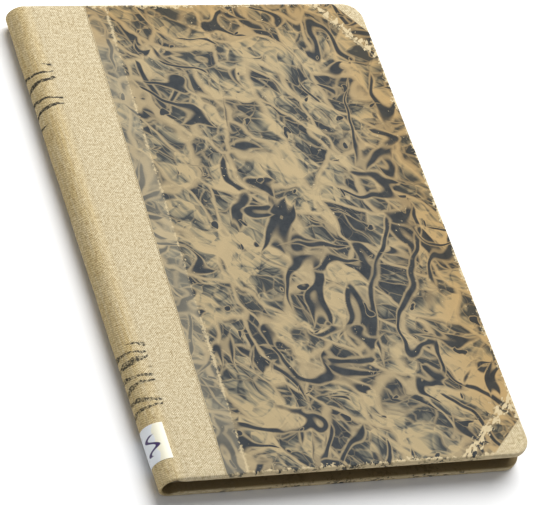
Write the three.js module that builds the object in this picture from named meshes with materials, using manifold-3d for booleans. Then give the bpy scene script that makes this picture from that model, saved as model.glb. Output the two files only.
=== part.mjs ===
// A pocket notebook with hard boards, a cloth spine and cloth corner tips.
// Millimetres, +Z up. X runs from the spine to the fore edge, Y from tail to head,
// and the origin is at the middle of the underside.
import * as THREE from 'three';
import Module from 'manifold-3d';

const wasm = await Module();
wasm.setup();
const { CrossSection, Manifold } = wasm;

// Overall size of the closed book.
const WIDTH = 108;
const HEIGHT = 154;
const THICK = 8.5;

// Covers, from the outside in. GAP is the room left between glued layers.
const GAP = 0.03;
const COVERING = 0.25;
const BOARD = 1.4;
const TURN_IN = 0.2;
const PASTEDOWN = 0.15;
const TURN_IN_WIDTH = 12;
const CORNER_RADIUS = 5.5;
const SQUARE = 3;

// Distances from the spine's outermost line.
const BOARD_START = 6;
const FRONT_CLOTH_START = 5.15;
const BACK_CLOTH_START = 4.15;
const PASTEDOWN_START = 6.4;
const LEAF_START = 6.8;
const FRONT_LIP = 4.6;
const BACK_LIP = 3.8;

// The cloth's edge on each cover slants a little, as it was cut by hand.
const CLOTH_WIDTH_TAIL = 17.3;
const CLOTH_WIDTH_HEAD = 21.9;
const SEAM = 0.06;

// Legs of the cloth triangles at the fore corners: along the end edge, along the fore edge.
const TAIL_CORNER = [12.3, 11];
const HEAD_CORNER = [8.4, 10.8];

// Text block.
const SECTIONS = 7;
const FLYLEAF = 0.12;
const TURNING = 3;

// Half-axes of the rounded back's layers, [across, up], outermost first.
const MIDDLE = THICK / 2;
const LABEL_OUT = [4.25, 4.1];
const LABEL_IN = [4.15, 4.01];
const CLOTH_OUT = [4.12, 3.98];
const CLOTH_IN = [3.86, 3.74];
const INLAY_OUT = [3.83, 3.71];
const INLAY_IN = [3.4, 3.3];
const LINING_OUT = [3.37, 3.27];
const LINING_IN = [3.15, 3.06];
const TAPE_OUT = [3.12, 3.03];
const TAPE_IN = [2.94, 2.86];
const THREAD_OUT = [2.91, 2.83];
const THREAD_IN = [2.66, 2.6];
const FOLD_CURVE = [2.6, 2.55];
const CURVE_CENTRE = 4.25;

const TAPE_WIDTH = 8;
const TAPE_PLACES = [30, 77, 124];
const THREAD_WIDTH = 0.5;
const THREAD_PLACES = { tail: 9, head: 145 };
const LABEL_SPAN = [6.4, 17.2];

const COLOURS = {
  cloth: 0xd3c39c,
  pattern: 0xb99d6b,
  board: 0x9c8355,
  endpaper: 0xe4d9bb,
  page: 0xe9dfc4,
  card: 0xa58d63,
  lining: 0xd9d2bd,
  tape: 0xe2dbc6,
  thread: 0xece5d0,
  label: 0xdfe0dc,
};

const book = new THREE.Group();
book.name = 'pocket_notebook';

function finish(slot) {
  return new THREE.MeshStandardMaterial({ color: COLOURS[slot], roughness: 0.85, metalness: 0 });
}

// Moves book distances (from the spine, from the tail, from the underside) to the row frame.
function place(geometry, name, slot) {
  geometry.translate(-WIDTH / 2, -HEIGHT / 2, 0);
  geometry.computeVertexNormals();
  const mesh = new THREE.Mesh(geometry, finish(slot));
  mesh.name = name;
  book.add(mesh);
}

function fromManifold(solid) {
  const { vertProperties, triVerts, numProp } = solid.getMesh();
  const positions = new Float32Array(triVerts.length * 3);
  for (let i = 0; i < triVerts.length; i += 1) {
    for (let k = 0; k < 3; k += 1) positions[3 * i + k] = vertProperties[triVerts[i] * numProp + k];
  }
  const geometry = new THREE.BufferGeometry();
  geometry.setAttribute('position', new THREE.BufferAttribute(positions, 3));
  return geometry;
}

// A closed X-Z profile drawn out along Y.
function prism(profile, y0, y1) {
  const points = profile.map(([x, z]) => new THREE.Vector2(x, z));
  if (THREE.ShapeUtils.area(points) < 0) points.reverse();
  const positions = [];
  const corner = (p, y) => positions.push(p.x, y, p.y);
  for (const [a, b, c] of THREE.ShapeUtils.triangulateShape(points, [])) {
    for (const p of [points[a], points[b], points[c]]) corner(p, y0);
    for (const p of [points[c], points[b], points[a]]) corner(p, y1);
  }
  points.forEach((p, i) => {
    const q = points[(i + 1) % points.length];
    corner(p, y0);
    corner(p, y1);
    corner(q, y1);
    corner(p, y0);
    corner(q, y1);
    corner(q, y0);
  });
  const geometry = new THREE.BufferGeometry();
  geometry.setAttribute('position', new THREE.BufferAttribute(new Float32Array(positions), 3));
  return geometry;
}

// Points on one of the back's curves, from the top end round to the bottom end.
function curve([across, up], topX, bottomX, steps = 28) {
  const start = Math.acos(Math.max(-1, Math.min(1, (CURVE_CENTRE - topX) / across)));
  const end = Math.acos(Math.max(-1, Math.min(1, (CURVE_CENTRE - bottomX) / across)));
  const points = [];
  for (let i = 0; i <= steps; i += 1) {
    const angle = start + ((-end - start) * i) / steps;
    points.push([CURVE_CENTRE - across * Math.cos(angle), MIDDLE + up * Math.sin(angle)]);
  }
  return points;
}

function shell(name, slot, outer, inner, y0, y1, topX = CURVE_CENTRE, bottomX = CURVE_CENTRE) {
  const outside = curve(outer, topX, bottomX);
  const inside = curve(inner, topX, bottomX).reverse();
  place(prism([...outside, ...inside], y0, y1), name, slot);
}

// Plan outline of a cover, drawn in by `inset`; only the fore corners are rounded.
function outline(inset, startX) {
  const radius = CORNER_RADIUS - inset;
  const points = [[startX, inset]];
  const arc = (cx, cy, from) => {
    for (let i = 0; i <= 10; i += 1) {
      const angle = from + (i * Math.PI) / 20;
      points.push([cx + radius * Math.cos(angle), cy + radius * Math.sin(angle)]);
    }
  };
  arc(WIDTH - CORNER_RADIUS, CORNER_RADIUS, -Math.PI / 2);
  arc(WIDTH - CORNER_RADIUS, HEIGHT - CORNER_RADIUS, 0);
  points.push([startX, HEIGHT - inset]);
  return new CrossSection([points]);
}

function polygon(points) {
  return new CrossSection([points]);
}

// The covering's zones in plan: the spine cloth, two corner tips, and the paper between.
function zones(startX) {
  const far = 20;
  const tail = [
    [WIDTH - TAIL_CORNER[0], 0],
    [WIDTH, TAIL_CORNER[1]],
  ];
  const head = [
    [WIDTH, HEIGHT - HEAD_CORNER[1]],
    [WIDTH - HEAD_CORNER[0], HEIGHT],
  ];
  const beyond = ([a, b]) => {
    const d = [b[0] - a[0], b[1] - a[1]];
    const n = [d[1], -d[0]];
    return [
      [a[0] - d[0], a[1] - d[1]],
      [a[0] - d[0] + n[0], a[1] - d[1] + n[1]],
      [b[0] + d[0] + n[0], b[1] + d[1] + n[1]],
      [b[0] + d[0], b[1] + d[1]],
    ];
  };
  const cloth = polygon([
    [startX, -far],
    [CLOTH_WIDTH_TAIL - 0.6, -far],
    [CLOTH_WIDTH_TAIL, 0],
    [CLOTH_WIDTH_HEAD, HEIGHT],
    [CLOTH_WIDTH_HEAD + 0.6, HEIGHT + far],
    [startX, HEIGHT + far],
  ]);
  const tailTip = polygon(beyond(tail));
  const headTip = polygon(beyond(head));
  const taken = cloth.add(tailTip).add(headTip).offset(SEAM, 'Miter');
  const all = polygon([
    [startX, -far],
    [WIDTH + far, -far],
    [WIDTH + far, HEIGHT + far],
    [startX, HEIGHT + far],
  ]);
  return { cloth, tailTip, headTip, paper: all.subtract(taken) };
}

// One covering piece: flat on the outside, down the board's edges and turned in.
function covering(zone, startX) {
  const whole = outline(0, startX);
  const edge = whole.subtract(outline(COVERING + GAP, startX - 1));
  const inside = whole.subtract(outline(TURN_IN_WIDTH, startX - 1));
  const drop = COVERING + BOARD + 2 * GAP;
  const face = zone.intersect(whole).extrude(COVERING);
  const rim = zone.intersect(edge).extrude(drop + TURN_IN);
  const turned = zone.intersect(inside).extrude(TURN_IN).translate([0, 0, drop]);
  return Manifold.union([face, rim, turned]);
}

// The six pieces of a cover, built outside-down; the front one is turned over in thickness only.
function cover(side, clothStart) {
  const flip = side === 'front';
  const add = (solid, name, slot) => {
    const upright = flip ? solid.mirror([0, 0, 1]).translate([0, 0, THICK]) : solid;
    place(fromManifold(upright), `${side}_${name}`, slot);
  };
  const parts = zones(clothStart);
  add(covering(parts.cloth, clothStart), 'cloth', 'cloth');
  add(covering(parts.paper, clothStart), 'cover_paper', 'pattern');
  add(covering(parts.tailTip, clothStart), 'corner_tail', 'cloth');
  add(covering(parts.headTip, clothStart), 'corner_head', 'cloth');
  const board = outline(COVERING + 2 * GAP, BOARD_START).extrude(BOARD);
  add(board.translate([0, 0, COVERING + GAP]), 'board', 'board');
  const sheet = polygon([
    [PASTEDOWN_START, SQUARE],
    [WIDTH - SQUARE, SQUARE],
    [WIDTH - SQUARE, HEIGHT - SQUARE],
    [PASTEDOWN_START, HEIGHT - SQUARE],
  ]).extrude(PASTEDOWN);
  const depth = COVERING + BOARD + TURN_IN + 3 * GAP;
  add(sheet.translate([0, 0, depth]), 'pastedown', 'endpaper');
}

// Where the text block begins and ends, measured up from the underside.
const BLOCK_LOW = COVERING + BOARD + TURN_IN + PASTEDOWN + 4 * GAP;
const BLOCK_HIGH = THICK - BLOCK_LOW;
const SECTION_THICK =
  (BLOCK_HIGH - BLOCK_LOW - 2 * FLYLEAF - (SECTIONS + 1) * GAP) / SECTIONS;

// How far from the spine a fold at height z sits on the rounded back.
function foldX(z) {
  const lift = (z - MIDDLE) / FOLD_CURVE[1];
  return CURVE_CENTRE - FOLD_CURVE[0] * Math.sqrt(Math.max(0, 1 - lift * lift));
}

// A folded bundle of leaves with a round nose at the fold.
function foldProfile(noseX, endX, z0, z1) {
  const radius = (z1 - z0) / 2;
  const points = [];
  for (let i = 0; i <= 6; i += 1) {
    const angle = Math.PI / 2 + (i * Math.PI) / 6;
    points.push([noseX + radius + radius * Math.cos(angle), z0 + radius + radius * Math.sin(angle)]);
  }
  return [...points, [endX, z0], [endX, z1]];
}

function bundle(name, slot, z0, z1, turningPart) {
  const nose = Math.max(foldX(z0), foldX(z1));
  const y0 = SQUARE;
  const y1 = HEIGHT - SQUARE;
  const end = WIDTH - SQUARE;
  if (turningPart) {
    place(prism(foldProfile(nose, LEAF_START - GAP, z0, z1), y0, y1), `${name}_fold`, slot);
    const leaves = [[LEAF_START, z0], [end, z0], [end, z1], [LEAF_START, z1]];
    place(prism(leaves, y0, y1), `${name}_${turningPart}`, slot);
  } else {
    place(prism(foldProfile(nose, end, z0, z1), y0, y1), name, slot);
  }
}

cover('back', BACK_CLOTH_START);

let level = BLOCK_LOW;
bundle('back_flyleaf', 'endpaper', level, level + FLYLEAF, null);
level += FLYLEAF + GAP;
for (let i = 1; i <= SECTIONS; i += 1) {
  const turningPart = i > SECTIONS - TURNING ? 'leaves' : null;
  bundle(`section_${i}`, 'page', level, level + SECTION_THICK, turningPart);
  level += SECTION_THICK + GAP;
}
bundle('front_flyleaf', 'endpaper', level, level + FLYLEAF, 'leaf');

for (const [end, y] of Object.entries(THREAD_PLACES)) {
  const half = THREAD_WIDTH / 2;
  shell(`thread_${end}`, 'thread', THREAD_OUT, THREAD_IN, y - half, y + half, 3.1, 3.1);
}
TAPE_PLACES.forEach((y, i) => {
  shell(`tape_${i + 1}`, 'tape', TAPE_OUT, TAPE_IN, y - TAPE_WIDTH / 2, y + TAPE_WIDTH / 2);
});
shell('spine_lining', 'lining', LINING_OUT, LINING_IN, SQUARE + 2, HEIGHT - SQUARE - 2);
shell('spine_inlay', 'card', INLAY_OUT, INLAY_IN, 0.4, HEIGHT - 0.4);
shell('spine_cloth', 'cloth', CLOTH_OUT, CLOTH_IN, 0, HEIGHT, FRONT_LIP, BACK_LIP);
shell('spine_label', 'label', LABEL_OUT, LABEL_IN, LABEL_SPAN[0], LABEL_SPAN[1], FRONT_LIP, 2.2);

cover('front', FRONT_CLOTH_START);

export default book;
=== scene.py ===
import math

import bpy
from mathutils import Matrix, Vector


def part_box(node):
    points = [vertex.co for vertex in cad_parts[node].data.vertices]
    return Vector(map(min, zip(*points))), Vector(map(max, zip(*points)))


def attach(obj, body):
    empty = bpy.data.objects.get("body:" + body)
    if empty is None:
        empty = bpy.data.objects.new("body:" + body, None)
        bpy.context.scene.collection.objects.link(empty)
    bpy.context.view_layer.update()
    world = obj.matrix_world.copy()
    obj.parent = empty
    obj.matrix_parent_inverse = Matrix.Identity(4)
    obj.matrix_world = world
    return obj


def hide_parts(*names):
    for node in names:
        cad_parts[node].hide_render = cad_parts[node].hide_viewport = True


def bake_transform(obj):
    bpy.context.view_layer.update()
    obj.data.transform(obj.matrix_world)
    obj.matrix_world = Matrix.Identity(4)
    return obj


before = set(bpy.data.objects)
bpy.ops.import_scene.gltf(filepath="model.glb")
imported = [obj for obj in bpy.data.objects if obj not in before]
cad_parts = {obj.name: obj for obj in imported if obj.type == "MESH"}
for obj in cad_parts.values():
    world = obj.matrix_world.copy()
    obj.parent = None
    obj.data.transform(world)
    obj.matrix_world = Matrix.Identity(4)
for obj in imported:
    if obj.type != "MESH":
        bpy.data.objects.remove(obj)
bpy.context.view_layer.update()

# ---------------------------------------------------------------------------------------------------------------------
# Cover paper
# The decorated sheets on both boards: tan paper on which dark oil colour was dabbed with crumpled paper, so it dried
# in slate pools with soft grey shading beside them. Cut to the cloth's edge and across the corners, pasted down,
# and turned in over the board's edges, where it has rubbed through.

MM = 0.001
width, height, thick = 108.0, 154.0, 8.5
corner_radius = 5.5
covering_depth = 1.9
edge_round = 0.55
spine_start = 5.2
cloth_tail, cloth_head = 17.3, 21.9
tip_tail, tip_head = 12.3, 10.8
turn_in = 11.0


def put(tree, kind, feeds=None, **options):
    node = tree.nodes.new("ShaderNode" + kind)
    for name, value in options.items():
        setattr(node, name, value)
    for socket, value in (feeds or {}).items():
        if isinstance(value, bpy.types.NodeSocket):
            tree.links.new(value, node.inputs[socket])
        else:
            node.inputs[socket].default_value = value
    return node


def maths(tree, operation, *values, clamp=False):
    feeds = dict(enumerate(values))
    return put(tree, "Math", feeds, operation=operation, use_clamp=clamp).outputs[0]


def between(tree, value, low, high, to_low=0.0, to_high=1.0):
    feeds = {"Value": value, "From Min": low, "From Max": high, "To Min": to_low, "To Max": to_high}
    return put(tree, "MapRange", feeds, interpolation_type="SMOOTHSTEP").outputs[0]


def blend_colour(tree, factor, first, second, kind="MIX"):
    node = put(tree, "Mix", data_type="RGBA", blend_type=kind)
    for index, value in ((0, factor), (6, first), (7, second)):
        if isinstance(value, bpy.types.NodeSocket):
            tree.links.new(value, node.inputs[index])
        elif index == 0:
            node.inputs[index].default_value = value
        else:
            node.inputs[index].default_value = (*value, 1.0)
    return node.outputs[2]


def ramp(tree, factor, stops):
    node = put(tree, "ValToRGB", {"Fac": factor})
    while len(node.color_ramp.elements) < len(stops):
        node.color_ramp.elements.new(0.5)
    for element, (place, colour) in zip(node.color_ramp.elements, stops):
        element.position = place
        element.color = (*colour, 1.0)
    return node.outputs["Color"]


def noise(tree, vector, scale, detail=2.0, roughness=0.5):
    feeds = {"Vector": vector, "Scale": scale, "Detail": detail, "Roughness": roughness}
    return put(tree, "TexNoise", feeds)


def stretch(tree, vector, lengths, turn=0.0):
    """Space measured in strides of these lengths, the first one along the direction of turn."""
    feeds = {"Vector": vector, "Scale": lengths, "Rotation": (0.0, 0.0, math.radians(turn))}
    return put(tree, "Mapping", feeds, vector_type="TEXTURE").outputs[0]


def new_group(name, inputs, outputs):
    group = bpy.data.node_groups.new(name, "ShaderNodeTree")
    for label, kind, value in inputs:
        socket = group.interface.new_socket(label, in_out="INPUT", socket_type="NodeSocket" + kind)
        if value is not None:
            socket.default_value = value
    for label, kind in outputs:
        group.interface.new_socket(label, in_out="OUTPUT", socket_type="NodeSocket" + kind)
    return group, group.nodes.new("NodeGroupInput").outputs, group.nodes.new("NodeGroupOutput").inputs


def use(tree, group, feeds=None):
    node = tree.nodes.new("ShaderNodeGroup")
    node.node_tree = group
    for socket, value in (feeds or {}).items():
        if isinstance(value, bpy.types.NodeSocket):
            tree.links.new(value, node.inputs[socket])
        else:
            node.inputs[socket].default_value = value
    return node.outputs


def laid_flat(tree):
    """A piece's place before it was wrapped or bent, in millimetres, whole and split into X, Y and Z."""
    laid = put(tree, "Attribute", attribute_name="flat").outputs["Vector"]
    return laid, put(tree, "SeparateXYZ", {0: laid}).outputs


def on_the_level(tree, parts):
    return put(tree, "CombineXYZ", {"X": parts["X"], "Y": parts["Y"], "Z": 0.0}).outputs[0]


def new_material(name, roughness, specular):
    material = bpy.data.materials.new(name)
    material.use_nodes = True
    tree = material.node_tree
    shader = tree.nodes["Principled BSDF"]
    shader.inputs["Roughness"].default_value = roughness
    shader.inputs["Specular IOR Level"].default_value = specular
    return material, tree, shader


def relief(tree, shader, height, distance):
    bump = put(tree, "Bump", {"Height": height, "Distance": distance, "Strength": 1.0})
    tree.links.new(bump.outputs[0], shader.inputs["Normal"])


def drift(tree, vector, scale, amount, detail=1.0):
    """Space pushed about by a slow noise, by up to about half the amount."""
    wander = noise(tree, vector, scale, detail=detail, roughness=0.55).outputs["Color"]
    centred = put(tree, "VectorMath", {0: wander, 1: (0.5, 0.5, 0.5)}, operation="SUBTRACT").outputs[0]
    scaled = put(tree, "VectorMath", {0: centred, "Scale": amount}, operation="SCALE").outputs[0]
    return put(tree, "VectorMath", {0: vector, 1: scaled}, operation="ADD").outputs[0]


def crumple(tree, space):
    """One crumpled facet after another: how far down its slope a point is, how near its crease, a chance."""
    facet = put(tree, "TexVoronoi", {"Vector": space, "Scale": 1.0}).outputs
    crease = put(tree, "TexVoronoi", {"Vector": space, "Scale": 1.0}, feature="DISTANCE_TO_EDGE").outputs["Distance"]
    local = put(tree, "VectorMath", {0: space, 1: facet["Position"]}, operation="SUBTRACT").outputs[0]
    lean = put(tree, "VectorMath", {0: facet["Color"], 1: (0.5, 0.5, 0.5)}, operation="SUBTRACT").outputs[0]
    lean = put(tree, "VectorMath", {0: lean, 1: (1.0, 1.0, 0.0)}, operation="MULTIPLY").outputs[0]
    lean = put(tree, "VectorMath", {0: lean}, operation="NORMALIZE").outputs[0]
    slope = put(tree, "VectorMath", {0: local, 1: lean}, operation="DOT_PRODUCT").outputs["Value"]
    return slope, crease, put(tree, "SeparateXYZ", {0: facet["Color"]}).outputs["Z"]


# Oil colour dried in pools on tan paper. Pattern space is in millimetres.
oiled, given, result = new_group(
    "Dabbed oil colour",
    [("Place", "Vector", None), ("Seed", "Float", 0.0)],
    [("Color", "Color"), ("Pools", "Float")],
)
shift = put(oiled, "CombineXYZ", {"X": given["Seed"], "Y": given["Seed"], "Z": given["Seed"]}).outputs[0]
start = put(oiled, "VectorMath", {0: given["Place"], 1: shift}, operation="ADD").outputs[0]
swept = drift(oiled, drift(oiled, start, 0.03, 14.0), 0.09, 6.0)
fine = drift(oiled, swept, 0.35, 1.0, detail=1.5)
slope, crease, chance = crumple(oiled, stretch(oiled, fine, (21.0, 11.0, 12.0), turn=-52))
small_slope, small_crease, _ = crumple(oiled, stretch(oiled, fine, (12.0, 6.0, 6.0), turn=-25))
tiny_slope, tiny_crease, _ = crumple(oiled, stretch(oiled, fine, (6.0, 3.4, 4.0), turn=-40))
patches = noise(oiled, start, 0.06, detail=1.0).outputs["Fac"]
streaks = noise(oiled, stretch(oiled, swept, (12.0, 1.0, 3.0), turn=-50), 1.0, detail=2.5).outputs["Fac"]
tone = maths(oiled, "MULTIPLY_ADD", slope, 0.95, 0.6)
for share, amount in (
    (small_slope, 0.55), (tiny_slope, 0.5), (maths(oiled, "SUBTRACT", patches, 0.5), 0.2),
    (maths(oiled, "SUBTRACT", chance, 0.5), 0.25), (maths(oiled, "SUBTRACT", streaks, 0.5), 1.35),
):
    tone = maths(oiled, "MULTIPLY_ADD", share, amount, tone)
ribbons = maths(
    oiled, "MAXIMUM", between(oiled, crease, 0.01, 0.08, 0.9, 0.0), between(oiled, small_crease, 0.0, 0.08, 0.55, 0.0),
)
ribbons = maths(oiled, "MAXIMUM", ribbons, between(oiled, tiny_crease, 0.0, 0.07, 0.35, 0.0))
pools = maths(oiled, "MULTIPLY", between(oiled, tone, 0.86, 1.1), between(oiled, ribbons, 0.1, 0.6, 1.0, 0.0))
# Curved strokes of colour, thick where there was plenty and dying out at both ends, a bare line on each side.
for lengths, turn, plenty, thickness in (
    ((22.0, 9.0, 12.0), -62, 0.50, 0.05), ((30.0, 8.0, 12.0), 68, 0.50, 0.05), ((18.0, 7.0, 8.0), -15, 0.52, 0.05),
    ((6.0, 5.0, 4.0), 30, 0.66, 0.08),
):
    level = noise(oiled, stretch(oiled, swept, lengths, turn=turn), 1.0, detail=0.0).outputs["Fac"]
    supply = noise(oiled, start, 1.3 / lengths[0], detail=0.0).outputs["Fac"]
    side = maths(oiled, "SUBTRACT", level, 0.5)
    half_width = between(oiled, supply, plenty, plenty + 0.15, -0.04, thickness)
    inside = maths(oiled, "SUBTRACT", half_width, maths(oiled, "ABSOLUTE", side))
    ribbons = maths(oiled, "MAXIMUM", ribbons, between(oiled, inside, -0.045, -0.015, 0.0, 0.7))
    shading = between(oiled, inside, -0.16, -0.02, 0.0, 0.45)
    shading = maths(oiled, "MULTIPLY", shading, between(oiled, side, -0.03, 0.03))
    tone = maths(oiled, "ADD", tone, shading)
    pools = maths(oiled, "MULTIPLY", pools, between(oiled, inside, -0.04, -0.01, 1.0, 0.3))
    pools = maths(oiled, "MAXIMUM", pools, between(oiled, inside, -0.01, 0.025))
ground = ramp(oiled, tone, [
    (0.08, (0.40, 0.315, 0.18)), (0.36, (0.27, 0.23, 0.147)), (0.66, (0.145, 0.137, 0.106)), (1.0, (0.055, 0.06, 0.06)),
])
ground = blend_colour(oiled, maths(oiled, "MULTIPLY", ribbons, 0.85), ground, (0.43, 0.335, 0.19))
depth = noise(oiled, start, 0.5, detail=3.0).outputs["Fac"]
slate = blend_colour(oiled, depth, (0.018, 0.023, 0.03), (0.06, 0.065, 0.066))
oiled.links.new(blend_colour(oiled, pools, ground, slate), result["Color"])
oiled.links.new(pools, result["Pools"])

# Paper rubbed away along the board's edges: 1 where it has gone.
rubbed, given, result = new_group(
    "Rubbed edges",
    [("Place", "Vector", None), ("From edge", "Float", -5.0), ("Reach", "Float", 1.2)],
    [("Mask", "Float")],
)
ragged = noise(rubbed, given["Place"], 0.9, detail=4.0, roughness=0.65).outputs["Fac"]
patchy = noise(rubbed, given["Place"], 0.12, detail=2.0).outputs["Fac"]
inward = maths(rubbed, "DIVIDE", maths(rubbed, "MULTIPLY", given["From edge"], -1.0), given["Reach"])
level = maths(rubbed, "ADD", inward, between(rubbed, ragged, 0.25, 0.75, 0.75, -0.75))
level = maths(rubbed, "ADD", level, between(rubbed, patchy, 0.3, 0.7, 0.45, -0.45))
rubbed.links.new(between(rubbed, level, 0.1, 0.45, 1.0, 0.0), result["Mask"])


def outline():
    """Points of a cover's edge from the spine at the tail round to the spine at the head: place, way out."""
    count_end, count_fore, count_arc = 26, 36, 10
    points = []
    reach = width - corner_radius
    for i in range(count_end):
        points.append((spine_start + (reach - spine_start) * i / count_end, 0.0, 0.0, -1.0))
    for i in range(count_arc + 1):
        angle = -math.pi / 2 + i * math.pi / 2 / count_arc
        points.append((None, reach, corner_radius, math.cos(angle), math.sin(angle)))
    for i in range(1, count_fore):
        points.append((width, corner_radius + (height - 2 * corner_radius) * i / count_fore, 1.0, 0.0))
    for i in range(count_arc + 1):
        angle = i * math.pi / 2 / count_arc
        points.append((None, reach, height - corner_radius, math.cos(angle), math.sin(angle)))
    for i in range(count_end - 1, -1, -1):
        points.append((spine_start + (reach - spine_start) * i / count_end, height, 0.0, 1.0))
    return points


def offset_point(point, out):
    """A point of the edge moved out of the cover, or into it when out is below 0."""
    if point[0] is None:
        _, cx, cy, nx, ny = point
        if out >= -corner_radius:
            return cx + (corner_radius + out) * nx, cy + (corner_radius + out) * ny
        return width + out, (-out if cy < height / 2 else height + out)
    x, y, nx, ny = point
    x, y = x + nx * out, y + ny * out
    return min(x, width + out), max(-out, min(height + out, y)) if nx else y


def edge_profile(lift):
    """Steps across a cover's edge, from the face over the rim to the turn-in: out, down, distance from the edge."""
    depth = covering_depth
    steps = [(-5.2, -lift, -5.2), (-3.0, -lift, -3.0), (-1.4, -lift, -1.4), (-edge_round, -lift, -edge_round)]
    for i in range(1, 6):
        angle = i * math.pi / 10
        steps.append((
            -edge_round + (edge_round + lift) * math.sin(angle), edge_round - (edge_round + lift) * math.cos(angle),
            -edge_round + edge_round * angle,
        ))
    steps.append((lift, depth - edge_round, depth - edge_round))
    for i in range(1, 6):
        angle = i * math.pi / 10
        steps.append((
            -edge_round + (edge_round + lift) * math.cos(angle),
            depth - edge_round + (edge_round + lift * 0.3) * math.sin(angle),
            depth - edge_round + edge_round * angle,
        ))
    steps.append((-3.0, depth + lift * 0.3, depth + 3.0))
    steps.append((-turn_in, depth + lift * 0.3, depth + turn_in))
    return steps


def in_frame(x, y, z):
    return ((x - width / 2) * MM, (y - height / 2) * MM, z * MM)


def wrapped_cover(name, lift, side, cuts, sheet):
    """A sheet laid on a board and turned in all round, then cut by upright planes. cuts: (point, way removed)."""
    import bmesh

    edge = outline()
    built = bmesh.new()
    flat = built.verts.layers.float_vector.new("flat")
    rows = []
    for out, down, far in edge_profile(lift):
        row = []
        for point in edge:
            x, y = offset_point(point, out)
            z = down if side == "back" else thick - down
            vertex = built.verts.new(in_frame(x, y, z))
            ex, ey = offset_point(point, 0.0)
            nx, ny = point[-2], point[-1]
            vertex[flat] = (ex + nx * far, ey + ny * far, far)
            row.append(vertex)
        rows.append(row)
    for first, second in zip(rows, rows[1:]):
        for i in range(len(edge) - 1):
            built.faces.new((first[i], second[i], second[i + 1], first[i + 1]))
    built.faces.new(rows[0])
    bmesh.ops.remove_doubles(built, verts=built.verts, dist=0.00002)
    for point, way in cuts:
        bmesh.ops.bisect_plane(
            built, geom=built.verts[:] + built.edges[:] + built.faces[:], plane_co=in_frame(*point, 0.0),
            plane_no=(way[0], way[1], 0.0), clear_outer=True, dist=0.000001,
        )
    if side == "back":
        bmesh.ops.reverse_faces(built, faces=built.faces[:])
    mesh = bpy.data.meshes.new(name)
    built.to_mesh(mesh)
    built.free()
    piece = bpy.data.objects.new(name, mesh)
    bpy.context.collection.objects.link(piece)
    return thicken(piece, sheet)


def thicken(piece, sheet):
    """Gives a surface the thickness of its sheet, inwards, and keeps the result as the mesh."""
    solid = piece.modifiers.new("sheet", "SOLIDIFY")
    solid.thickness = sheet * MM
    solid.offset = -1.0
    solid.use_even_offset = False
    bpy.context.view_layer.update()
    made = bpy.data.meshes.new_from_object(piece.evaluated_get(bpy.context.evaluated_depsgraph_get()))
    piece.modifiers.clear()
    piece.data = made
    made.shade_smooth()
    made.set_sharp_from_angle(angle=math.radians(50))
    return piece


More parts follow.
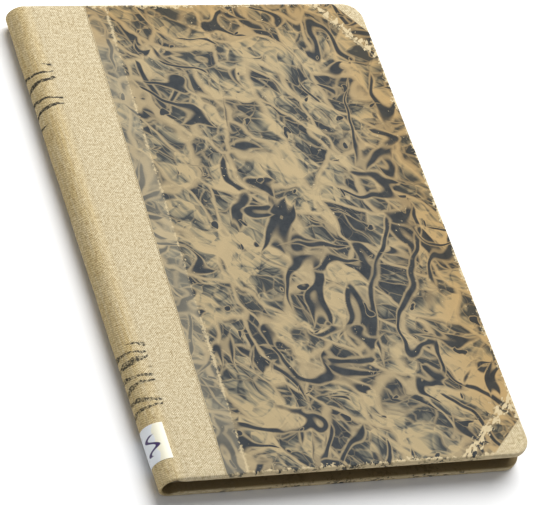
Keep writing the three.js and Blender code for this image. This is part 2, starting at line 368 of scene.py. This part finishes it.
def wear_material(name, seed):
    material, tree, shader = new_material(name, roughness=0.8, specular=0.08)
    _, parts = laid_flat(tree)
    level_place = on_the_level(tree, parts)
    pattern = use(tree, oiled, {"Place": level_place, "Seed": seed})
    # Distance past the cloth's slanting edge, and across each corner's cut.
    slope = (cloth_head - cloth_tail) / height
    past_cloth = maths(tree, "SUBTRACT", parts["X"], maths(tree, "MULTIPLY_ADD", parts["Y"], slope, cloth_tail))
    to_tail = maths(tree, "MULTIPLY", parts["X"], 0.667)
    to_tail = maths(tree, "ADD", to_tail, maths(tree, "MULTIPLY", parts["Y"], -0.745))
    tail_cut = maths(tree, "SUBTRACT", 0.667 * (width - tip_tail), to_tail)
    to_head = maths(tree, "ADD", maths(tree, "MULTIPLY", parts["X"], 0.789), maths(tree, "MULTIPLY", parts["Y"], 0.614))
    head_cut = maths(tree, "SUBTRACT", 0.789 * width + 0.614 * (height - tip_head), to_head)
    nearest = maths(tree, "MINIMUM", past_cloth, maths(tree, "MINIMUM", tail_cut, head_cut))
    fray = noise(tree, level_place, 1.1, detail=4.0, roughness=0.7).outputs["Fac"]
    # The cloth's edge under the paper stands up as a ridge, and the paper has rubbed pale along it.
    ridge_line = maths(tree, "ABSOLUTE", maths(tree, "SUBTRACT", nearest, 6.3))
    tip_ridge = maths(tree, "ABSOLUTE", maths(tree, "SUBTRACT", maths(tree, "MINIMUM", tail_cut, head_cut), 5.3))
    stretches = noise(tree, level_place, 0.09, detail=3.0).outputs["Fac"]
    spine_rub = maths(tree, "ADD", ridge_line, between(tree, fray, 0.2, 0.8, -0.6, 0.9))
    spine_rub = maths(tree, "ADD", spine_rub, between(tree, stretches, 0.4, 0.6, -0.15, 0.45))
    spine_rub = between(tree, spine_rub, 0.1, 0.8, 0.75, 0.0)
    tatter = noise(tree, stretch(tree, level_place, (1.1, 2.6, 1.0), turn=-40), 1.0, detail=3.0).outputs["Fac"]
    tip_rub = maths(tree, "ADD", tip_ridge, between(tree, tatter, 0.3, 0.7, -1.4, 1.7))
    tip_rub = between(tree, tip_rub, 0.5, 1.1, 0.95, 0.0)
    from_edge = maths(tree, "MINIMUM", parts["Z"], 0.0)
    rim = use(tree, rubbed, {"Place": level_place, "From edge": from_edge, "Reach": 1.5})["Mask"]
    cut_edge = between(tree, nearest, 0.1, 0.35, 0.8, 0.0)
    scuffs = noise(tree, level_place, 0.75, detail=5.0, roughness=0.75).outputs["Fac"]
    scuff_zone = noise(tree, level_place, 0.05, detail=2.0).outputs["Fac"]
    scuffed = maths(tree, "MULTIPLY", between(tree, scuffs, 0.61, 0.66), between(tree, scuff_zone, 0.5, 0.6))
    bare = maths(tree, "MAXIMUM", maths(tree, "MAXIMUM", rim, scuffed), maths(tree, "MAXIMUM", cut_edge, tip_rub))
    bare = maths(tree, "MAXIMUM", bare, spine_rub)
    pulp = blend_colour(tree, fray, (0.50, 0.39, 0.21), (0.66, 0.56, 0.37))
    # The paper is tinted darker and more golden towards the head and the fore edge.
    toward = between(tree, parts["X"], width - 26, width)
    toward = maths(tree, "MAXIMUM", toward, between(tree, parts["Y"], height - 22, height))
    faded = between(tree, past_cloth, 5.6, 6.6, 0.3, 0.0)
    faded = maths(tree, "MULTIPLY", faded, between(tree, stretches, 0.3, 0.6, 0.5, 1.0))
    paled = blend_colour(tree, faded, pattern["Color"], (0.40, 0.36, 0.26))
    golden = blend_colour(tree, maths(tree, "MULTIPLY", toward, 0.6), paled, (1.0, 0.78, 0.48), kind="MULTIPLY")
    handled = blend_colour(tree, bare, golden, pulp)
    # Painted shade: the turned-in margin inside the cover is painted dark brown, for the shade in the recess between
    # the boards.
    paper_turn_in_shade = between(tree, parts["Z"], 1.3, 2.1, 0.0, 0.85)
    tree.links.new(blend_colour(tree, paper_turn_in_shade, handled, (0.19, 0.135, 0.055)), shader.inputs["Base Color"])
    painted = maths(tree, "SUBTRACT", pattern["Pools"], bare)
    tree.links.new(between(tree, painted, 0.0, 1.0, 0.9, 0.75), shader.inputs["Roughness"])
    crossing = between(tree, nearest, 5.9, 6.5, 0.16, 0.0)
    tooth = noise(tree, level_place, 3.0, detail=3.0).outputs["Fac"]
    surface = maths(tree, "ADD", crossing, maths(tree, "MULTIPLY", tooth, 0.05))
    surface = maths(tree, "SUBTRACT", surface, maths(tree, "MULTIPLY", bare, 0.05))
    surface = maths(tree, "ADD", surface, maths(tree, "MULTIPLY", pattern["Pools"], 0.015))
    relief(tree, shader, surface, MM)
    return material


tail_way = Vector((11.0, -tip_tail)).normalized()
head_way = Vector((tip_head, 8.4)).normalized()
cloth_way = Vector((-height, cloth_head - cloth_tail)).normalized()
cover_papers = {}
for side, seed in (("front", 61.0), ("back", 412.0)):
    paper = wrapped_cover(
        f"{side}_cover_sheet", 0.06, side,
        [
            ((cloth_tail, 0.0), cloth_way),
            ((width - tip_tail, 0.0), tail_way),
            ((width, height - tip_head), head_way),
        ],
        0.2,
    )
    paper.data.materials.append(wear_material(f"Decorated paper, {side}", seed))
    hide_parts(f"{side}_cover_paper")
    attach(paper, f"{side}_cover")
    cover_papers[side] = paper

# ---------------------------------------------------------------------------------------------------------------------
# Bookcloth
# Cream plain-weave cotton, glued over the spine and onto both boards, its ends turned in at head and tail. It is one
# strip; each half is a piece here. Handling has browned it over the spine.

woven, given, result = new_group(
    "Plain weave",
    [("Place", "Vector", None), ("Pitch", "Float", 0.62), ("Soil", "Float", 0.0)],
    [("Color", "Color"), ("Height", "Float")],
)
wobble = drift(woven, given["Place"], 0.9, 0.5, detail=2.0)
parts = put(woven, "SeparateXYZ", {0: wobble}).outputs
turn_rate = maths(woven, "DIVIDE", math.pi * 2, given["Pitch"])
across = maths(woven, "SINE", maths(woven, "MULTIPLY", parts["X"], turn_rate))
along = maths(woven, "SINE", maths(woven, "MULTIPLY", parts["Y"], turn_rate))
over = maths(woven, "MULTIPLY_ADD", maths(woven, "MULTIPLY", across, along), 0.5, 0.5)
slub = noise(woven, stretch(woven, given["Place"], (2.9, 0.45, 1.0)), 1.0, detail=2.0).outputs["Fac"]
slub_two = noise(woven, stretch(woven, given["Place"], (0.45, 3.3, 1.0)), 1.0, detail=2.0).outputs["Fac"]
speckle = noise(woven, given["Place"], 1.3, detail=4.0, roughness=0.8).outputs["Fac"]
yarn = maths(woven, "MULTIPLY", over, between(woven, maths(woven, "ADD", slub, slub_two), 0.7, 1.3, 0.7, 1.2))
tone = maths(woven, "ADD", maths(woven, "MULTIPLY", yarn, 0.75), maths(woven, "MULTIPLY_ADD", speckle, 1.9, -0.76))
thread_colour = ramp(woven, tone, [
    (0.25, (0.34, 0.26, 0.14)), (0.5, (0.54, 0.45, 0.285)), (0.72, (0.67, 0.58, 0.39)), (1.0, (0.78, 0.70, 0.50)),
])
blotch = noise(woven, given["Place"], 0.07, detail=4.0, roughness=0.6).outputs["Fac"]
grime = maths(woven, "MULTIPLY", given["Soil"], between(woven, blotch, 0.2, 0.8, 0.6, 1.15), clamp=True)
dulling = between(woven, blotch, 0.35, 0.7, 0.0, 0.25)
dulled = blend_colour(woven, dulling, thread_colour, (0.9, 0.86, 0.76), kind="MULTIPLY")
woven.links.new(blend_colour(woven, grime, dulled, (0.92, 0.84, 0.64), kind="MULTIPLY"), result["Color"])
woven.links.new(yarn, result["Height"])


def cloth_material(name, spine_soil):
    material, tree, shader = new_material(name, roughness=0.9, specular=0.12)
    _, parts = laid_flat(tree)
    level_place = on_the_level(tree, parts)
    if spine_soil:
        # Z holds how far round the back a point is: 1 on the spine, 0 on the boards.
        lines = noise(tree, stretch(tree, level_place, (0.7, 16.0, 1.0)), 1.0, detail=2.0).outputs["Fac"]
        soil = maths(tree, "MULTIPLY", parts["Z"], between(tree, lines, 0.3, 0.7, 0.55, 1.2), clamp=True)
    else:
        soil = 0.12
    cloth = use(tree, woven, {"Place": level_place, "Soil": soil})
    colour = cloth["Color"]
    if spine_soil:
        colour = ink_marks(tree, colour, level_place)
        past_tail = maths(tree, "MULTIPLY", parts["Y"], -1.0)
        past_tip = maths(tree, "MAXIMUM", past_tail, maths(tree, "SUBTRACT", parts["Y"], height))
    else:
        past_tip = maths(tree, "SUBTRACT", parts["Z"], 0.3)
    # Painted shade: the cloth turned in at the head and tail, and inside each corner, is painted dark brown for the
    # shade in the recess between the boards.
    cloth_turn_in_shade = between(tree, past_tip, 1.0, 1.7, 0.0, 0.85)
    tree.links.new(blend_colour(tree, cloth_turn_in_shade, colour, (0.19, 0.135, 0.055)), shader.inputs["Base Color"])
    relief(tree, shader, cloth["Height"], 0.10 * MM)
    return material


def ink_marks(tree, colour, place):
    """Worn bars of dark ink across the back near the head and near the tail."""
    shaky = drift(tree, place, 0.35, 1.6)
    parts = put(tree, "SeparateXYZ", {0: shaky}).outputs
    wear = noise(tree, place, 1.3, detail=4.0, roughness=0.7).outputs["Fac"]
    marks = None
    for low, high, pitch, worn, gap in ((114.0, 134.0, 4.2, 0.5, 0.55), (20.0, 42.0, 3.5, 0.43, 0.2)):
        span = between(tree, parts["Y"], low, low + 0.5)
        span = maths(tree, "MULTIPLY", span, between(tree, parts["Y"], high - 0.5, high, 1.0, 0.0))
        lean = maths(tree, "SINE", maths(tree, "MULTIPLY", parts["Y"], 0.45 * math.tau / pitch))
        lean = maths(tree, "MULTIPLY", maths(tree, "MULTIPLY", lean, parts["X"]), 0.35)
        bars = maths(tree, "SINE", maths(tree, "MULTIPLY_ADD", parts["Y"], math.tau / pitch, lean))
        reach = between(tree, parts["X"], -3.4, -3.0)
        reach = maths(tree, "MULTIPLY", reach, between(tree, parts["X"], 8.6, 9.1, 1.0, 0.0))
        bar = maths(tree, "MULTIPLY", maths(tree, "MULTIPLY", between(tree, bars, gap, gap + 0.3), span), reach)
        bar = maths(tree, "MULTIPLY", bar, between(tree, wear, worn, worn + 0.16, 0.97, 0.3))
        marks = bar if marks is None else maths(tree, "MAXIMUM", marks, bar)
    return blend_colour(tree, marks, colour, (0.035, 0.034, 0.028))


def back_curve(side, far_x):
    """The cloth's line across the book in one half, from its hidden edge on the board to the middle of the spine."""
    points = []
    steps = 14
    for i in range(steps + 1):
        x = far_x + (6.8 - far_x) * i / steps
        points.append((x, 0.05))
    for i in range(1, 9):
        t = i / 8
        x = 6.8 + (4.25 - 6.8) * t
        points.append((x, 0.05 + 0.10 * math.sin(math.pi * t) + 0.05 * t))
    for i in range(1, 25):
        angle = math.pi / 2 * (1 - i / 24)
        points.append((4.25 - 4.2 * math.cos(angle), 4.25 - 4.15 * math.sin(angle)))
    return [(x, thick - d if side == "front" else d) for x, d in points]


def round_the_tip(radius):
    """Steps round the cloth's turned end: distance from the tip, depth below the face for a wall, and run."""
    steps = [(7.0, lambda wall: wall, -8.2), (2.5, lambda wall: wall, -3.7)]
    for k in range(5):
        angle = math.pi / 2 * k / 4
        rise = radius * (1 - math.cos(angle))
        steps.append((radius * (1 - math.sin(angle)), lambda wall, rise=rise: wall - rise, -1.6 + 0.1 * k))
    for k in range(4):
        angle = math.pi / 2 * k / 4
        fall = radius * (1 - math.sin(angle))
        steps.append((radius * (1 - math.cos(angle)), lambda wall, fall=fall: fall, -0.4 + 0.1 * k))
    return steps


def sheet_object(name, vertices, faces, flat):
    """A piece made from these faces, which also keeps each point's flattened place."""
    mesh = bpy.data.meshes.new(name)
    mesh.from_pydata(vertices, [], faces)
    attribute = mesh.attributes.new("flat", "FLOAT_VECTOR", "POINT")
    attribute.data.foreach_set("vector", [c for v in flat for c in v])
    piece = bpy.data.objects.new(name, mesh)
    bpy.context.collection.objects.link(piece)
    return piece


cloth_sheet = 0.22
end_round = 0.4
turned_end = round_the_tip(end_round)


def spine_sag(y):
    """How far the back wanders from a straight line at this height."""
    return 0.06 * math.sin(y * 0.21 + 1.0) + 0.04 * math.sin(y * 0.53)


def cloth_half(name, side, far_x):
    line = back_curve(side, far_x)
    lengths = [0.0]
    for (ax, az), (bx, bz) in zip(line, line[1:]):
        lengths.append(lengths[-1] + math.hypot(bx - ax, bz - az))
    total = lengths[-1]
    ways = []
    for i in range(len(line)):
        (ax, az), (bx, bz) = line[max(i - 1, 0)], line[min(i + 1, len(line) - 1)]
        dx, dz = bx - ax, bz - az
        size = math.hypot(dx, dz)
        # The way into the book, at right angles to the line.
        way = (dz / size, -dx / size)
        if way[0] * (4.25 - line[i][0]) + way[1] * (4.25 - line[i][1]) < 0 and line[i][0] < 6:
            way = (-way[0], -way[1])
        if line[i][0] >= 6:
            way = (0.0, -1.0 if side == "front" else 1.0)
        ways.append(way)
    wall = [1.9 if x > 6.5 else 0.95 + 0.95 * max(0.0, (x - 4.0) / 2.5) for x, _ in line]
    vertices, faces, flat, rows = [], [], [], []

    def ring(y, run, depth=None):
        row = []
        for i, (x, z) in enumerate(line):
            down = depth(wall[i]) if depth else 0.0
            px, pz = x + ways[i][0] * down, z + ways[i][1] * down
            sag = spine_sag(y)
            if x < 4.0:
                px += sag * 0.8 * (4.0 - x) / 4.0
            vertices.append(in_frame(px, y, pz))
            around = total - lengths[i]
            from_middle = around if side == "front" else -around
            on_back = max(0.0, min(1.0, (9.0 - around) / 4.6))
            flat.append((from_middle, run, on_back))
            row.append(len(vertices) - 1)
        rows.append(row)

    for distance, depth, run in turned_end:
        ring(distance, run, depth)
    body_rows = 60
    for k in range(body_rows + 1):
        y = end_round + (height - 2 * end_round) * k / body_rows
        ring(y, y)
    for distance, depth, run in reversed(turned_end):
        ring(height - distance, height - run, depth)
    for a, b in zip(rows, rows[1:]):
        for i in range(len(line) - 1):
            faces.append((a[i], a[i + 1], b[i + 1], b[i]) if side == "back" else (a[i], b[i], b[i + 1], a[i + 1]))
    return thicken(sheet_object(name, vertices, faces, flat), cloth_sheet)


cloth_paint = cloth_material("Bookcloth", spine_soil=True)
for side in ("front", "back"):
    half = cloth_half(f"{side}_cloth_half", side, 22.5)
    half.data.materials.append(cloth_paint)
    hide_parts(f"{side}_cloth")
    if side == "front":
        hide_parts("spine_cloth")
    if side == "front":
        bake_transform(half)
    else:
        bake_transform(half)

# ---------------------------------------------------------------------------------------------------------------------
# Corner tips
# A triangle of the same cloth over each fore corner, turned in on both edges and tucked under the paper, so that the
# corners of the boards don't split.

tip_paint = cloth_material("Corner cloth", spine_soil=False)
for side in ("front", "back"):
    for end, point, way in (
        ("tail", (width - tip_tail - 1.2, 0.0), -tail_way),
        ("head", (width, height - tip_head - 1.6), -head_way),
    ):
        tip = wrapped_cover(f"{side}_{end}_tip", 0.0, side, [(point, way)], cloth_sheet)
        tip.data.materials.append(tip_paint)
        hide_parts(f"{side}_corner_{end}")
        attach(tip, f"{side}_cover")

# ---------------------------------------------------------------------------------------------------------------------
# Boards
# Grey-brown millboard, cut square at the spine and rounded at the fore corners. It only shows where the covering
# has gone.

def own_place(tree):
    """The piece's own coordinates in millimetres."""
    place = put(tree, "TexCoord").outputs["Object"]
    return put(tree, "VectorMath", {0: place, "Scale": 1.0 / MM}, operation="SCALE").outputs[0]


board_paint, tree, shader = new_material("Millboard", roughness=0.95, specular=0.15)
place = own_place(tree)
fibre = noise(tree, stretch(tree, place, (1.0, 2.5, 0.17)), 1.0, detail=5.0, roughness=0.7).outputs["Fac"]
tree.links.new(ramp(tree, fibre, [(0.3, (0.22, 0.16, 0.08)), (0.7, (0.42, 0.33, 0.19))]), shader.inputs["Base Color"])
relief(tree, shader, fibre, 0.2 * MM)
for side in ("front", "back"):
    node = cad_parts[f"{side}_board"]
    node.data.materials.clear()
    node.data.materials.append(board_paint)

# ---------------------------------------------------------------------------------------------------------------------
# Endpapers
# One folded sheet of plain cream paper at each end of the book. Half is pasted to the board and covers the turn-ins;
# the other half is the flyleaf.

aged, given, result = new_group(
    "Aged paper",
    [("Place", "Vector", None), ("Edge", "Float", 10.0)],
    [("Color", "Color"), ("Height", "Float")],
)
pulp_grain = noise(aged, given["Place"], 1.4, detail=5.0, roughness=0.65).outputs["Fac"]
cloudy = noise(aged, given["Place"], 0.03, detail=3.0).outputs["Fac"]
spots = put(aged, "TexVoronoi", {"Vector": given["Place"], "Scale": 0.11, "Randomness": 1.0}).outputs["Distance"]
foxing = maths(aged, "ADD", spots, between(aged, pulp_grain, 0.3, 0.7, -0.03, 0.03))
foxing = between(aged, foxing, 0.02, 0.10, 0.35, 0.0)
sheet_colour = blend_colour(aged, cloudy, (0.62, 0.54, 0.38), (0.70, 0.63, 0.47))
sheet_colour = blend_colour(aged, foxing, sheet_colour, (0.42, 0.28, 0.14))
brown = maths(aged, "ADD", given["Edge"], between(aged, cloudy, 0.3, 0.7, 3.0, -3.0))
brown = between(aged, brown, 0.0, 9.0, 0.55, 0.0)
aged.links.new(blend_colour(aged, brown, sheet_colour, (0.45, 0.33, 0.18)), result["Color"])
aged.links.new(pulp_grain, result["Height"])


square = 3.0
pastedown_end = width - 3.4


def page_sheet(name, layers, nose_x, low, high, end_x=width - square):
    """A bundle of thin leaves from the fold to the fore edge, each a little out of line with the next."""
    vertices, faces, flat = [], [], []
    gap = (high - low) / layers
    sheet = gap * 0.8
    across_steps = [
        0.0, 0.3, 0.6, 0.9, 1.2, 1.4, 1.6, 1.8, 2.4, 3.0, 3.6, 4.2, 4.8, 5.4, 6.0, 7.0, 8.0,
        10, 14, 22, 34, 50, 68, 84, 96,
    ]
    spans = [nose_x + s for s in across_steps if nose_x + s < end_x - 4] + [end_x]
    spans.insert(-1, end_x - 0.5)
    length = height - 2 * square
    rows = [0.0, 0.5] + [length * j / 11 for j in range(1, 11)] + [length - 0.5, length]
    count_y = len(rows) - 1
    for layer in range(layers):
        base = low + gap * layer + gap * 0.1
        jog = 0.22 * math.sin(layer * 2.7 + low * 5.1)
        slip = 0.18 * math.sin(layer * 1.9 + low * 3.3)
        start_index = len(vertices)
        for top in (0, 1):
            for i, x in enumerate(spans):
                edge_x = x + (jog if i == len(spans) - 1 else 0.0)
                for j in range(count_y + 1):
                    y = square + slip + rows[j] * (1 - 2 * abs(slip) / length)
                    vertices.append(in_frame(edge_x, y, base + top * sheet))
                    flat.append((x, y, min(end_x - x, rows[j], length - rows[j])))
        row = count_y + 1
        n = len(spans)

        def index(top, i, j):
            return start_index + top * n * row + i * row + j

        for i in range(n - 1):
            for j in range(count_y):
                faces.append((index(0, i, j), index(0, i, j + 1), index(0, i + 1, j + 1), index(0, i + 1, j)))
                faces.append((index(1, i, j), index(1, i + 1, j), index(1, i + 1, j + 1), index(1, i, j + 1)))
            faces.append((index(0, i, 0), index(0, i + 1, 0), index(1, i + 1, 0), index(1, i, 0)))
            faces.append((
                index(0, i, count_y), index(1, i, count_y), index(1, i + 1, count_y), index(0, i + 1, count_y),
            ))
        for j in range(count_y):
            faces.append((index(0, 0, j), index(1, 0, j), index(1, 0, j + 1), index(0, 0, j + 1)))
            faces.append((index(0, n - 1, j), index(0, n - 1, j + 1), index(1, n - 1, j + 1), index(1, n - 1, j)))
    return sheet_object(name, vertices, faces, flat)


def paper_material(name):
    material, tree, shader = new_material(name, roughness=0.85, specular=0.3)
    laid, parts = laid_flat(tree)
    sheet = use(tree, aged, {"Place": laid, "Edge": parts["Z"]})
    tree.links.new(sheet["Color"], shader.inputs["Base Color"])
    relief(tree, shader, sheet["Height"], 0.04 * MM)
    return material, tree, shader, sheet


endpaper_paint, _, _, _ = paper_material("Endpaper")
front_paste = page_sheet("front_endpaper", 1, 4.7, 6.42, 6.6, end_x=pastedown_end)
front_paste.data.materials.append(endpaper_paint)
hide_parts("front_pastedown")
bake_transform(front_paste)
back_paste = page_sheet("back_endpaper", 1, 4.7, 1.92, 2.09, end_x=pastedown_end)
back_paste.data.materials.append(endpaper_paint)
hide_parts("back_pastedown")
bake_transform(back_paste)
flyleaf = page_sheet("front_flyleaf_sheet", 1, 4.7, 6.25, 6.4)
flyleaf.data.materials.append(endpaper_paint)
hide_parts("front_flyleaf_fold", "front_flyleaf_leaf")
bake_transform(flyleaf)
back_fly = page_sheet("back_flyleaf_sheet", 1, 4.7, 2.11, 2.26)
back_fly.data.materials.append(endpaper_paint)
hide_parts("back_flyleaf")
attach(back_fly, "text_block")

# ---------------------------------------------------------------------------------------------------------------------
# Text block
# Seven sewn sections of cream writing paper, four folded sheets each. Their trimmed edges were sprinkled brown and have
# darkened with dust, and they are painted darker still, nearly black in places, as painted shade.

page_paint, tree, shader, sheet = paper_material("Writing paper")
_, parts = laid_flat(tree)
mottled = noise(tree, own_place(tree), 0.55, detail=4.0, roughness=0.7).outputs["Fac"]
# The page edges: sprinkled and dust-darkened brown, and painted darker still as painted shade in the recess between the
# boards.
edge_stain_and_shade = ramp(tree, mottled, [
    (0.3, (0.02, 0.018, 0.006)), (0.46, (0.10, 0.058, 0.014)), (0.6, (0.22, 0.135, 0.04)), (0.78, (0.36, 0.26, 0.12)),
])
on_edge = between(tree, parts["Z"], 0.02, 0.35, 1.0, 0.0)
tree.links.new(blend_colour(tree, on_edge, sheet["Color"], edge_stain_and_shade), shader.inputs["Base Color"])
for number in range(1, 8):
    turning = number > 4
    low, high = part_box(f"section_{number}_leaves" if turning else f"section_{number}")
    fold_low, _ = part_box(f"section_{number}_fold" if turning else f"section_{number}")
    nose = fold_low.x / MM + width / 2
    bundle = page_sheet(f"section_{number}_sheets", 4, nose, low.z / MM, high.z / MM)
    bundle.data.materials.append(page_paint)
    if turning:
        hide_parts(f"section_{number}_fold", f"section_{number}_leaves")
        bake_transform(bundle)
    else:
        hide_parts(f"section_{number}")
        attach(bundle, "text_block")

# ---------------------------------------------------------------------------------------------------------------------
# Spine linings, tapes and thread
# Behind the cloth: three linen tapes across the folds, kettle stitches near the ends, a strip of open-weave lining
# glued over them, and a bent card that keeps the back round. Seen only at the ends of the spine.

hidden_looks = {
    "spine_inlay": ("Spine card", (0.10, 0.065, 0.025), (0.24, 0.17, 0.08)),
    "spine_lining": ("Lining cloth", (0.13, 0.10, 0.045), (0.30, 0.24, 0.13)),
    "tape_1": ("Linen tape", (0.66, 0.6, 0.46), (0.82, 0.78, 0.66)),
    "thread_tail": ("Sewing thread", (0.7, 0.64, 0.5), (0.86, 0.82, 0.7)),
}
paints = {}
for node_name, (label, dark, light) in hidden_looks.items():
    paint, tree, shader = new_material(label, roughness=0.92, specular=0.2)
    place = own_place(tree)
    grain = noise(tree, stretch(tree, place, (0.35, 0.8, 0.35)), 1.0, detail=5.0, roughness=0.7).outputs["Fac"]
    tree.links.new(ramp(tree, grain, [(0.3, dark), (0.7, light)]), shader.inputs["Base Color"])
    relief(tree, shader, grain, 0.1 * MM)
    paints[node_name] = paint
for node_name, like in (
    ("spine_inlay", "spine_inlay"), ("spine_lining", "spine_lining"), ("tape_1", "tape_1"), ("tape_2", "tape_1"),
    ("tape_3", "tape_1"), ("thread_tail", "thread_tail"), ("thread_head", "thread_tail"),
):
    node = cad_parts[node_name]
    node.data.materials.clear()
    node.data.materials.append(paints[like])

# ---------------------------------------------------------------------------------------------------------------------
# Spine label
# A small gummed label round the back near the tail, blue-white where it is clean and yellowed by glue at the front,
# with a loop of faded violet ink that says nothing.

label_line = []
label_steps, label_rows = 32, 12
label_tail, label_height = 6.4, 10.8
for i in range(label_steps + 1):
    angle = math.radians(92 - 150 * i / label_steps)
    label_line.append((4.25 - 4.3 * math.cos(angle), 4.25 + 4.25 * math.sin(angle)))
vertices, faces, flat = [], [], []
run = 0.0
for i, (x, z) in enumerate(label_line):
    if i:
        run += math.hypot(x - label_line[i - 1][0], z - label_line[i - 1][1])
    for j in range(label_rows + 1):
        y = label_tail + label_height * j / label_rows
        sag = spine_sag(y)
        vertices.append(in_frame(x + sag * 0.8 * max(0, (4.0 - x)) / 4.0, y, z))
        flat.append((run, y, 0.0))
for i in range(len(label_line) - 1):
    for j in range(label_rows):
        a = i * (label_rows + 1) + j
        faces.append((a, a + 1, a + label_rows + 2, a + label_rows + 1))
label = thicken(sheet_object("spine_label_sheet", vertices, faces, flat), 0.1)
label_paint, tree, shader = new_material("Gummed label", roughness=0.45, specular=0.5)
laid, parts = laid_flat(tree)
tide = noise(tree, laid, 0.25, detail=2.0).outputs["Fac"]
yellowed = between(tree, maths(tree, "ADD", parts["X"], between(tree, tide, 0.3, 0.7, -0.9, 0.9)), 2.6, 2.9, 1.0, 0.0)
gum_stained = blend_colour(tree, yellowed, (0.78, 0.81, 0.84), (0.86, 0.83, 0.66))
wave = maths(tree, "MULTIPLY", maths(tree, "SINE", maths(tree, "MULTIPLY", parts["Y"], 1.55)), 1.6)
stroke = maths(tree, "ABSOLUTE", maths(tree, "SUBTRACT", maths(tree, "SUBTRACT", parts["X"], 4.4), wave))
stroke_span = between(tree, parts["Y"], 8.4, 8.8)
stroke_span = maths(tree, "MULTIPLY", stroke_span, between(tree, parts["Y"], 14.2, 14.6, 1.0, 0.0))
inked = maths(tree, "MULTIPLY", between(tree, stroke, 0.5, 0.85, 1.0, 0.0), stroke_span)
tree.links.new(blend_colour(tree, inked, gum_stained, (0.05, 0.025, 0.11)), shader.inputs["Base Color"])
relief(tree, shader, noise(tree, laid, 2.0, detail=3.0).outputs["Fac"], 0.03 * MM)
label.data.materials.append(label_paint)
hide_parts("spine_label")
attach(label, "text_block")

# ---------------------------------------------------------------------------------------------------------------------
# Table, light and camera
# A plain pale table, a large soft lamp above and to the right, and an even pale surround.

bpy.ops.mesh.primitive_plane_add(size=6.0, location=(0, 0, -0.0001))
table = bpy.context.object
table.name = "table"
table_paint, tree, shader = new_material("Pale table", roughness=0.7, specular=0.2)
shader.inputs["Base Color"].default_value = (0.93, 0.93, 0.93, 1.0)
table.data.materials.append(table_paint)

scene = bpy.context.scene
scene.view_settings.view_transform = "Standard"
scene.world = scene.world or bpy.data.worlds.new("surround")
scene.world.use_nodes = True
surround = scene.world.node_tree.nodes["Background"]
surround.inputs["Color"].default_value = (1.0, 1.0, 1.0, 1.0)
surround.inputs["Strength"].default_value = 0.3


def lamp(name, place, size, power):
    light = bpy.data.lights.new(name, "AREA")
    light.shape = "DISK"
    light.size = size
    light.energy = power
    holder = bpy.data.objects.new(name, light)
    bpy.context.collection.objects.link(holder)
    holder.location = place
    holder.rotation_euler = (-Vector(place)).to_track_quat("-Z", "Y").to_euler()


lamp("key lamp", (0.42, 0.78, 0.95), 1.5, 32.8)

camera = bpy.data.objects.new("camera", bpy.data.cameras.new("camera"))
bpy.context.collection.objects.link(camera)
camera.location = (-0.43186, -0.4959, 0.71126)
camera.rotation_euler = (0.67205, -0.35146, -0.31318)
camera.data.lens = 241.25
camera.data.clip_start = 0.01
scene.camera = camera
